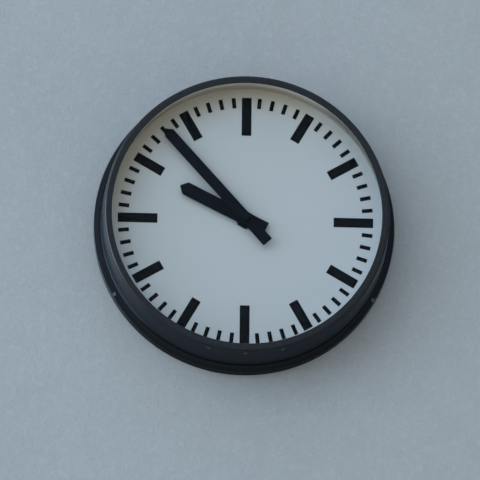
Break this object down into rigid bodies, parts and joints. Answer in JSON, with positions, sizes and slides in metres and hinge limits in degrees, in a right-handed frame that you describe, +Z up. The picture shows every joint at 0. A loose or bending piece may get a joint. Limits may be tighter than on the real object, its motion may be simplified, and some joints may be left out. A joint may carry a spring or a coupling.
{
  "type": "station clock",
  "caption": "Round analogue station wall clock with a deep dark case, flat glass, white dial, black bar marks and bar hands, and a geared stepping movement.",
  "frame": {"origin": "on the clock's axis in the wall plane, at the middle of the pan's flat back", "axes": "+Z up to twelve o'clock, -Y out of the dial towards the reader, +Y into the wall, +X to three o'clock"},
  "size_m": [0.4379, 0.0945, 0.4381],
  "materials": {
    "case_paint": "satin anthracite paint",
    "dial_white": "matt white paint",
    "mark_black": "matt black print",
    "hand_black": "matt black paint on aluminium",
    "clear_glass": "clear float glass",
    "seal_cream": "cream silicone",
    "steel": "plain steel",
    "brass": "turned and cut brass",
    "moulding_grey": "moulded grey plastic",
    "moulding_pale": "moulded pale plastic",
    "copper": "enamelled copper wire",
    "lamination": "annealed electrical steel",
    "ferrite": "sintered ferrite",
    "black_rubber": "black rubber",
    "lead_insulation": "insulated wire"
  },
  "bodies": {
    "case": {"wall_pan": "case_paint", "front_bezel": "case_paint", "side_screws": "steel", "glass_seal": "seal_cream", "cover_glass": "clear_glass", "dial_surround": "dial_white", "dial_plate": "dial_white", "quarter_marks": "mark_black", "hour_marks": "mark_black", "minute_marks": "mark_black", "dial_pillars": "steel", "dial_screws": "steel", "movement_frame": "moulding_grey", "movement_cover": "moulding_grey", "cover_screws": "steel", "movement_washer": "black_rubber", "fixing_nut": "steel", "stator_stack": "lamination", "coil_bobbin": "moulding_pale", "coil_winding": "copper", "terminal_block": "moulding_pale", "clamp_screws": "steel", "coil_leads": "lead_insulation", "cable_grommet": "black_rubber"},
    "minute_work": {"minute_hand": "hand_black", "minute_boss": "hand_black", "hand_nut": "hand_black", "minute_arbor": "steel", "minute_wheel": "brass"},
    "hour_work": {"hour_hand": "hand_black", "hour_boss": "hand_black", "hour_tube": "brass", "hour_wheel": "brass"},
    "reverser": {"reverser_arbor": "steel", "reverser_wheel": "brass", "setting_knob": "moulding_grey"},
    "third": {"third_arbor": "steel", "third_wheel": "brass"},
    "rotor": {"rotor_shaft": "steel", "rotor_magnet": "ferrite"}
  },
  "joints": [
    {"name": "minute_turn", "type": "hinge", "parent": "case", "child": "minute_work", "pos_m": [0, -0.035, 0], "axis": [0, 1, 0], "continuous": true},
    {"name": "hour_turn", "type": "hinge", "parent": "case", "child": "hour_work", "pos_m": [0, -0.035, 0], "axis": [0, 1, 0], "continuous": true},
    {"name": "reverser_turn", "type": "hinge", "parent": "case", "child": "reverser", "pos_m": [0, -0.035, -0.021], "axis": [0, 1, 0], "continuous": true},
    {"name": "third_turn", "type": "hinge", "parent": "case", "child": "third", "pos_m": [0.021, -0.035, 0], "axis": [0, 1, 0], "continuous": true},
    {"name": "rotor_turn", "type": "hinge", "parent": "case", "child": "rotor", "pos_m": [0.021, -0.035, 0.018], "axis": [0, 1, 0], "continuous": true}
  ],
  "couplings": [
    {"joint": "hour_turn", "follows": "minute_turn", "ratio": 0.083333},
    {"joint": "reverser_turn", "follows": "minute_turn", "ratio": -0.33333},
    {"joint": "third_turn", "follows": "minute_turn", "ratio": -6},
    {"joint": "rotor_turn", "follows": "minute_turn", "ratio": 30}
  ]
}
